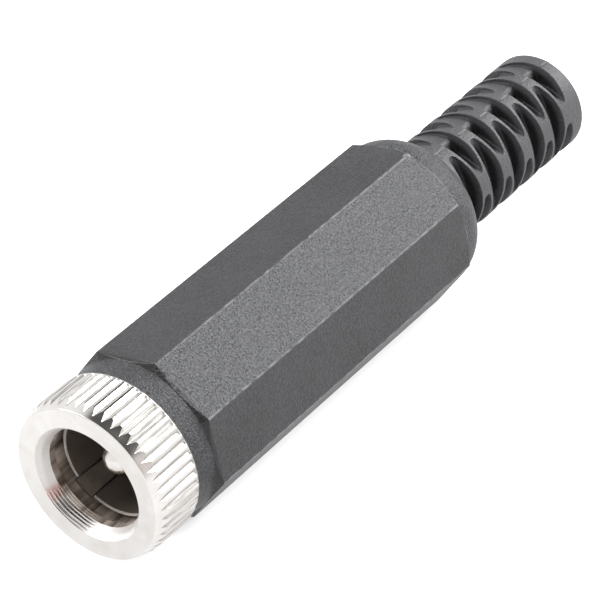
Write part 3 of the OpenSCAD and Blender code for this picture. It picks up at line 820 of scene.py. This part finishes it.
def addBar(points, faces, angle, start, end, out):
    # a low rounded bar along the mould's parting line, half sunk into the skin; it swells from
    # each end over its own width
    first, around, width = len(points), 8, boot["barR"]
    steps = ((start, 0.3), (start + 0.03, 0.8), (start + 0.08, 1.0),
             (end - 0.08, 1.0), (end - 0.03, 0.8), (end, 0.3))
    for y, swell in steps:
        for k in range(around):
            turn = math.tau * k / around
            sideways = math.degrees(width * swell * math.cos(turn) / out)
            points.append(polar(angle + sideways, out + width * swell * math.sin(turn), y))
    rows = len(steps)
    for i in range(rows - 1):
        for k in range(around):
            a, b = first + i * around + k, first + i * around + (k + 1) % around
            faces.append((a, b, b + around, a + around))
    faces.append(tuple(first + k for k in reversed(range(around))))
    faces.append(tuple(first + (rows - 1) * around + k for k in range(around)))


def addPartingLine(points, faces):
    # it shows on the neck, on the ribs between the windows and on the end band
    b = boot
    for angle, shift in ((b["partingAt"], 0.5), (b["partingAt"] + 180, 0)):
        reach = b["windowW"] / 2 + b["barGap"]
        centre = b["firstY"] + shift * b["pitch"]
        stops = [housing["end"] + 0.02]
        for row in range(b["rows"]):
            stops += [centre + row * b["pitch"] - reach, centre + row * b["pitch"] + reach]
        stops.append(b["end"] - 0.25)
        for start, end in zip(stops[::2], stops[1::2]):
            addBar(points, faces, angle, start, end, b["outR"])


def smoothStep(low, high, value):
    share = min(max((value - low) / (high - low), 0), 1)
    return share * share * (3 - 2 * share)


def raised(place):
    # past the parting line the windows' floors rise, so that the mould can draw
    b = boot
    x, y, z = (value / millimetre for value in place)
    radius = math.hypot(x, z)
    inside = housing["end"] + 0.3 < y - faceY / millimetre < b["end"] - 0.3
    if radius > b["outR"] - b["skin"] or radius < b["boreR"] + 0.05 or not inside:
        return place
    past = (math.degrees(math.atan2(z, x)) - b["partingAt"]) % 180
    past -= 180 if past > 120 else 0
    rise = smoothStep(*b["riseOver"], past) * (1 - smoothStep(*b["fallOver"], past)) * b["rise"]
    scale = 1 + rise * (b["outR"] - b["skin"] - radius) / radius
    return (place.x * scale, place.y, place.z * scale)


def windowTree():
    # lays the cell out in staggered columns, joins the ends and welds the whole skin
    tree, given = newTree("windowColumns", {
        "Ends": "Object", "Columns": "Int", "Rows": "Int", "Pitch": "Float", "First Y": "Float",
        "First Angle": "Float"})
    made = dict(given.items())
    made["index"] = addNode(tree, "GeometryNodeInputIndex").outputs[0]
    for name, operation, *values in (
            ("count", "MULTIPLY", "Columns", "Rows"),
            ("column", "MODULO", "index", "Columns"),
            ("row", "DIVIDE", "index", "Columns"),
            ("row", "FLOOR", "row"),
            # every other column is shifted by half a pitch
            ("along", "MODULO", "column", 2.0),
            ("along", "MULTIPLY_ADD", "along", 0.5, "row"),
            ("along", "MULTIPLY_ADD", "along", "Pitch", "First Y"),
            ("turn", "DIVIDE", -math.tau, "Columns"),
            ("turn", "MULTIPLY", "turn", "column"),
            ("turn", "SUBTRACT", "turn", "First Angle")):
        made[name] = addNode(tree, "ShaderNodeMath", operation=operation, inputs={
            i: made.get(value, value) for i, value in enumerate(values)}).outputs[0]
    points = addNode(tree, "GeometryNodePoints", {"Count": made["count"]})
    place = addNode(tree, "ShaderNodeCombineXYZ", {1: made["along"]})
    turn = addNode(tree, "ShaderNodeCombineXYZ", {1: made["turn"]})
    spread = addNode(tree, "GeometryNodeSetPosition",
                     {"Geometry": points.outputs[0], "Position": place.outputs[0]})
    copies = addNode(tree, "GeometryNodeInstanceOnPoints",
                     {"Points": spread.outputs[0], "Instance": given["Geometry"],
                      "Rotation": turn.outputs[0]})
    ends = addNode(tree, "GeometryNodeObjectInfo", {0: given["Ends"]})
    both = addNode(tree, "GeometryNodeJoinGeometry")
    tree.links.new(copies.outputs[0], both.inputs[0])
    tree.links.new(ends.outputs["Geometry"], both.inputs[0])
    endTree(tree, both.outputs[0], given["Finish"], 0.003)
    return tree


# one cell, centred on the axis' start; the tree moves its copies to their columns and rows
slottedBoot = makeMesh("slottedBoot", *windowCell(), start=0)
endPoints, endFaces = bootEnds()
addPartingLine(endPoints, endFaces)
endPiece = makeMesh("bootEnds", endPoints, endFaces)
rowsAround = slottedBoot.modifiers.new("windows", "NODES")
rowsAround.node_group = windowTree()
setInputs(rowsAround, {
    "Ends": endPiece, "Columns": boot["columns"], "Rows": boot["rows"],
    "Pitch": boot["pitch"] * millimetre, "First Y": boot["firstY"] * millimetre + faceY,
    "First Angle": math.radians(boot["firstAngle"]), "Finish": bootPlastic})
bakeTree(slottedBoot)
bpy.data.objects.remove(endPiece)
for vertex in slottedBoot.data.vertices:
    vertex.co = raised(vertex.co)
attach(slottedBoot, "root")
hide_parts("strain_relief_boot")
print("boot done:", len(slottedBoot.data.polygons), "faces")


# the inner pieces keep their CAD shape
finishes = {
    "contact_sleeve": sleeveNickel, "centre_pin": pinNickel, "insulator": insulatorPlastic,
    "ground_tag": tagTin, "rear_washer": washerFibre, "pin_tag": tagTin,
}
for name, material in finishes.items():
    nodes[name].data.materials.clear()
    nodes[name].data.materials.append(material)
print("inner pieces finished")


table = {"side": 3.0, "below": 0.02, "colour": "ececec", "glow": 0.6, "glossColour": "888888",
         "glossGlow": 0.75}


def makeFloor():
    side = table["side"]
    # a hair below the object, so that the two flat faces don't flicker through each other
    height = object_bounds()[0][2] - table["below"] * millimetre
    mesh = bpy.data.meshes.new("floor")
    mesh.from_pydata([(-side, -side, height), (side, -side, height), (side, side, height),
                      (-side, side, height)], [], [(0, 1, 2, 3)])
    floor = bpy.data.objects.new("floor", mesh)
    bpy.context.scene.collection.objects.link(floor)
    material = bpy.data.materials.new("paleTable")
    material.use_nodes = True
    tree = material.node_tree
    tree.nodes.clear()
    # the table glows for the camera and for gloss, so that it reads white and still
    # keeps the object's shadow
    ray = addNode(tree, "ShaderNodeLightPath").outputs
    glow = addNode(tree, "ShaderNodeMath", {0: ray["Is Camera Ray"], 1: ray["Is Transmission Ray"]},
                   operation="MAXIMUM")
    glow = addNode(tree, "ShaderNodeMath", {0: glow.outputs[0], 1: table["glow"]}, operation="MULTIPLY")
    glow = addNode(tree, "ShaderNodeMath", operation="MULTIPLY_ADD", inputs={
        0: ray["Is Glossy Ray"], 1: table["glossGlow"], 2: glow.outputs[0]})
    colour = addNode(tree, "ShaderNodeMix", data_type="RGBA", inputs={
        0: ray["Is Glossy Ray"], 6: linear(table["colour"]), 7: linear(table["glossColour"])})
    matt = addNode(tree, "ShaderNodeBsdfDiffuse", {"Color": colour.outputs[2]})
    glow = addNode(tree, "ShaderNodeEmission", {"Strength": glow.outputs[0]})
    both = addNode(tree, "ShaderNodeAddShader", {0: matt.outputs[0], 1: glow.outputs[0]})
    addNode(tree, "ShaderNodeOutputMaterial", {"Surface": both.outputs[0]})
    mesh.materials.append(material)


makeFloor()

# two square softboxes, in metres and watts
lamps = {
    "rearSoftbox": {"place": (0.206, 0.289, 0.28), "side": 0.26, "power": 3.0},
    "leftSoftbox": {"place": (-0.28, -0.14, 0.38), "side": 0.26, "power": 1.5},
}
lampAim = Vector((0, 0.015, 0))
for name, lamp in lamps.items():
    data = bpy.data.lights.new(name, "AREA")
    data.size = lamp["side"]
    data.energy = lamp["power"]
    softbox = bpy.data.objects.new(name, data)
    towards = (lampAim - Vector(lamp["place"])).to_track_quat("-Z", "Y")
    softbox.matrix_world = Matrix.Translation(lamp["place"]) @ towards.to_matrix().to_4x4()
    bpy.context.scene.collection.objects.link(softbox)

# the room is white but for a long dark gap overhead, between the lights, which runs from
# the camera's side to the far left; every bright edge on the nickel needs its dark neighbour.
# One small patch of the wall is warm
room = {
    "level": 1.0, "dark": 0.07, "edge": (0.92, 1.2),
    "across": (-0.697, -0.623, 0.355), "along": (-0.658, 0.752, 0.025), "up": (0.283, 0.215, 0.935),
    "halfWide": 0.48, "halfLong": 0.87, "aside": 0.06,
    "warmWay": (0.94, -0.25, 0.22), "warm": "b8968c", "warmEdge": (0.92, 0.98),
}
world = bpy.data.worlds.new("studio")
bpy.context.scene.world = world
world.use_nodes = True
sky = world.node_tree
sky.nodes.clear()
direction = addNode(sky, "ShaderNodeTexCoord").outputs["Generated"]
ray = addNode(sky, "ShaderNodeLightPath").outputs
made = {"seen": ray["Is Camera Ray"], "seenThrough": ray["Is Transmission Ray"]}
for name in ("across", "along", "up", "warmWay"):
    made[name] = addNode(sky, "ShaderNodeVectorMath", {0: direction, 1: Vector(room[name]).normalized()},
                         operation="DOT_PRODUCT").outputs["Value"]
for name, operation, *values in (
        # how far a direction lies from the gap's middle, 1 at its edge
        ("across", "ADD", "across", room["aside"]),
        ("across", "DIVIDE", "across", room["halfWide"]),
        ("along", "DIVIDE", "along", room["halfLong"]),
        ("far", "MULTIPLY", "along", "along"),
        ("far", "MULTIPLY_ADD", "across", "across", "far"),
        ("far", "SQRT", "far"),
        # the gap has no twin below the floor
        ("below", "LESS_THAN", "up", 0.0),
        ("far", "MULTIPLY_ADD", "below", 2.0, "far"),
        ("seen", "MAXIMUM", "seen", "seenThrough")):
    made[name] = addNode(sky, "ShaderNodeMath", operation=operation, inputs={
        i: made.get(value, value) for i, value in enumerate(values)}).outputs[0]
level = addNode(sky, "ShaderNodeMapRange", interpolation_type="SMOOTHSTEP", inputs={
    0: made["far"], 1: room["edge"][0], 2: room["edge"][1], 3: room["dark"], 4: room["level"]})
strength = addNode(sky, "ShaderNodeMapRange", {0: made["seen"], 3: level.outputs[0], 4: 1.0})
warmth = addNode(sky, "ShaderNodeMapRange", {
    0: made["warmWay"], 1: room["warmEdge"][0], 2: room["warmEdge"][1]})
tint = addNode(sky, "ShaderNodeMix", data_type="RGBA", inputs={
    0: warmth.outputs[0], 6: linear("ffffff"), 7: linear(room["warm"])})
back = addNode(sky, "ShaderNodeBackground", {"Strength": strength.outputs[0], "Color": tint.outputs[2]})
addNode(sky, "ShaderNodeOutputWorld", {"Surface": back.outputs[0]})
bpy.context.scene.view_settings.view_transform = "Standard"
print("stage ready")
